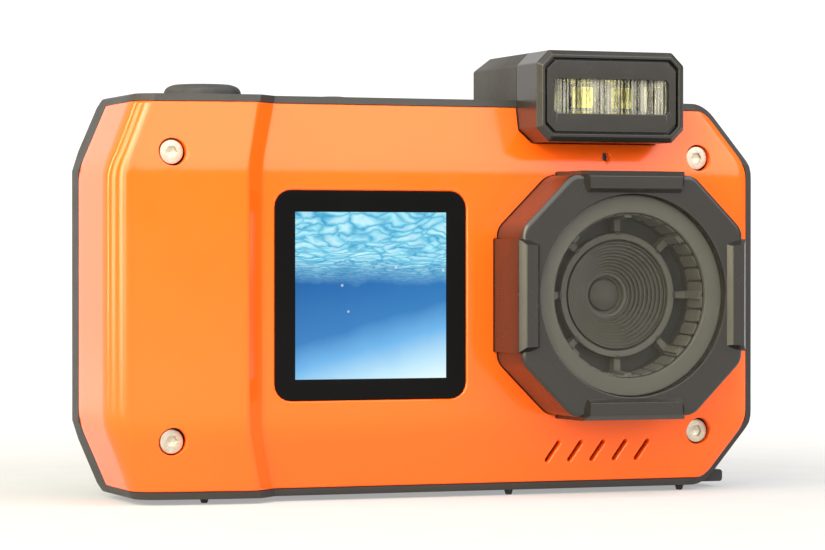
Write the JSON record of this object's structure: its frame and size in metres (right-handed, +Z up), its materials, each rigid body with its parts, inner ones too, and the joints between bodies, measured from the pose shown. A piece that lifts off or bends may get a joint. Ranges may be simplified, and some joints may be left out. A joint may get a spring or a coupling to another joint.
{
  "type": "action camera",
  "caption": "Hand-held waterproof action camera: orange front over a dark shell, square front screen, octagonal lens housing, raised flash, rear screen and keys, side battery door.",
  "frame": {"origin": "under the middle of the whole camera, level with the soles of its six small feet", "axes": "+X along the body towards the lens end (right as seen from the front), -Y out of the front face and lens, +Z up"},
  "size_m": [0.1112, 0.036, 0.072],
  "materials": {
    "cover": "satin-gloss moulded orange, faint mica",
    "shell": "fine-textured dark grey moulding",
    "housing": "satin dark grey moulding",
    "key": "soft matt grey-black, printed symbols",
    "screw_steel": "turned stainless",
    "black_glass": "polished black window",
    "lens_glass": "coated, faintly smoky",
    "optic": "coated lens element",
    "clear_plastic": "clear, ribbed",
    "lens_inner": "warm grey satin",
    "lens_black": "matt black",
    "display": "screen",
    "reflector": "vacuum-plated",
    "led": "yellow phosphor",
    "board": "green solder mask",
    "chip": "epoxy package",
    "seal": "black silicone",
    "door_seal": "orange-red silicone",
    "membrane": "grey silicone",
    "battery_wrap": "blue sleeve",
    "contact": "gold-plated",
    "sheet_metal": "plain sheet",
    "insert_brass": "machined",
    "latch": "mid grey",
    "foot": "matt black",
    "frame_plastic": "black ABS"
  },
  "bodies": {
    "camera": {"front_cover": "cover", "rear_shell": "shell", "cover_seal": "seal", "cover_screws": "screw_steel", "front_window": "black_glass", "front_display": "display", "lens_bezel": "housing", "lens_window": "lens_glass", "lens_seal": "seal", "lens_ring": "lens_inner", "dial_ring": "lens_inner", "stepped_baffle": "lens_inner", "lens_barrel": "lens_black", "front_lens": "optic", "rear_lens": "optic", "image_sensor": "chip", "sensor_board": "board", "flash_housing": "housing", "flash_trim": "housing", "flash_lens": "clear_plastic", "flash_reflector": "reflector", "flash_leds": "led", "flash_board": "board", "microphone": "sheet_metal", "speaker": "lens_black", "button_seals": "seal", "top_board": "board", "key_membrane": "membrane", "key_board": "board", "rear_window": "black_glass", "rear_display": "display", "main_board": "board", "main_chips": "chip", "battery": "battery_wrap", "battery_tray": "frame_plastic", "battery_contacts": "contact", "side_board": "board", "card_slot": "sheet_metal", "memory_card": "chip", "usb_port": "sheet_metal", "door_hinge_pin": "screw_steel", "tripod_insert": "insert_brass", "strap_lug": "shell", "rest_feet": "foot", "board_screws": "screw_steel"},
    "shutter": {"shutter_button": "key"},
    "power": {"power_button": "key"},
    "rocker": {"zoom_rocker": "key"},
    "door": {"side_door": "shell", "door_seal": "door_seal"},
    "latch": {"door_latch": "latch"},
    "mode": {"mode_key": "key"},
    "playback": {"playback_key": "key"},
    "up": {"up_key": "key"},
    "down": {"down_key": "key"},
    "left": {"left_key": "key"},
    "right": {"right_key": "key"},
    "ok": {"ok_key": "key"},
    "menu": {"menu_key": "key"},
    "delete": {"delete_key": "key"}
  },
  "joints": [
    {"name": "shutter_press", "type": "slide", "parent": "camera", "child": "shutter", "axis": [0, 0, -1], "range_m": [0, 0.0008], "stiffness_N_per_m": 1500},
    {"name": "power_press", "type": "slide", "parent": "camera", "child": "power", "axis": [0, 0, -1], "range_m": [0, 0.0004], "stiffness_N_per_m": 1500},
    {"name": "zoom_rock", "type": "hinge", "parent": "camera", "child": "rocker", "pos_m": [-0.03735, 0.01465, 0.0531], "axis": [0, 0, 1], "range_deg": [-3, 3], "stiffness_Nm_per_rad": 0.05},
    {"name": "mode_press", "type": "slide", "parent": "camera", "child": "mode", "axis": [0, -1, 0], "range_m": [0, 0.0004], "stiffness_N_per_m": 1500},
    {"name": "playback_press", "type": "slide", "parent": "camera", "child": "playback", "axis": [0, -1, 0], "range_m": [0, 0.0004], "stiffness_N_per_m": 1500},
    {"name": "up_press", "type": "slide", "parent": "camera", "child": "up", "axis": [0, -1, 0], "range_m": [0, 0.0004], "stiffness_N_per_m": 1500},
    {"name": "down_press", "type": "slide", "parent": "camera", "child": "down", "axis": [0, -1, 0], "range_m": [0, 0.0004], "stiffness_N_per_m": 1500},
    {"name": "left_press", "type": "slide", "parent": "camera", "child": "left", "axis": [0, -1, 0], "range_m": [0, 0.0004], "stiffness_N_per_m": 1500},
    {"name": "right_press", "type": "slide", "parent": "camera", "child": "right", "axis": [0, -1, 0], "range_m": [0, 0.0004], "stiffness_N_per_m": 1500},
    {"name": "ok_press", "type": "slide", "parent": "camera", "child": "ok", "axis": [0, -1, 0], "range_m": [0, 0.0004], "stiffness_N_per_m": 1500},
    {"name": "menu_press", "type": "slide", "parent": "camera", "child": "menu", "axis": [0, -1, 0], "range_m": [0, 0.0004], "stiffness_N_per_m": 1500},
    {"name": "delete_press", "type": "slide", "parent": "camera", "child": "delete", "axis": [0, -1, 0], "range_m": [0, 0.0004], "stiffness_N_per_m": 1500},
    {"name": "door_hinge", "type": "hinge", "parent": "camera", "child": "door", "pos_m": [0.0548, 0.01415, 0.0326], "axis": [0, 0, 1], "range_deg": [0, 100]},
    {"name": "latch_slide", "type": "slide", "parent": "door", "child": "latch", "axis": [0, 0, -1], "range_m": [0, 0.0038]}
  ]
}
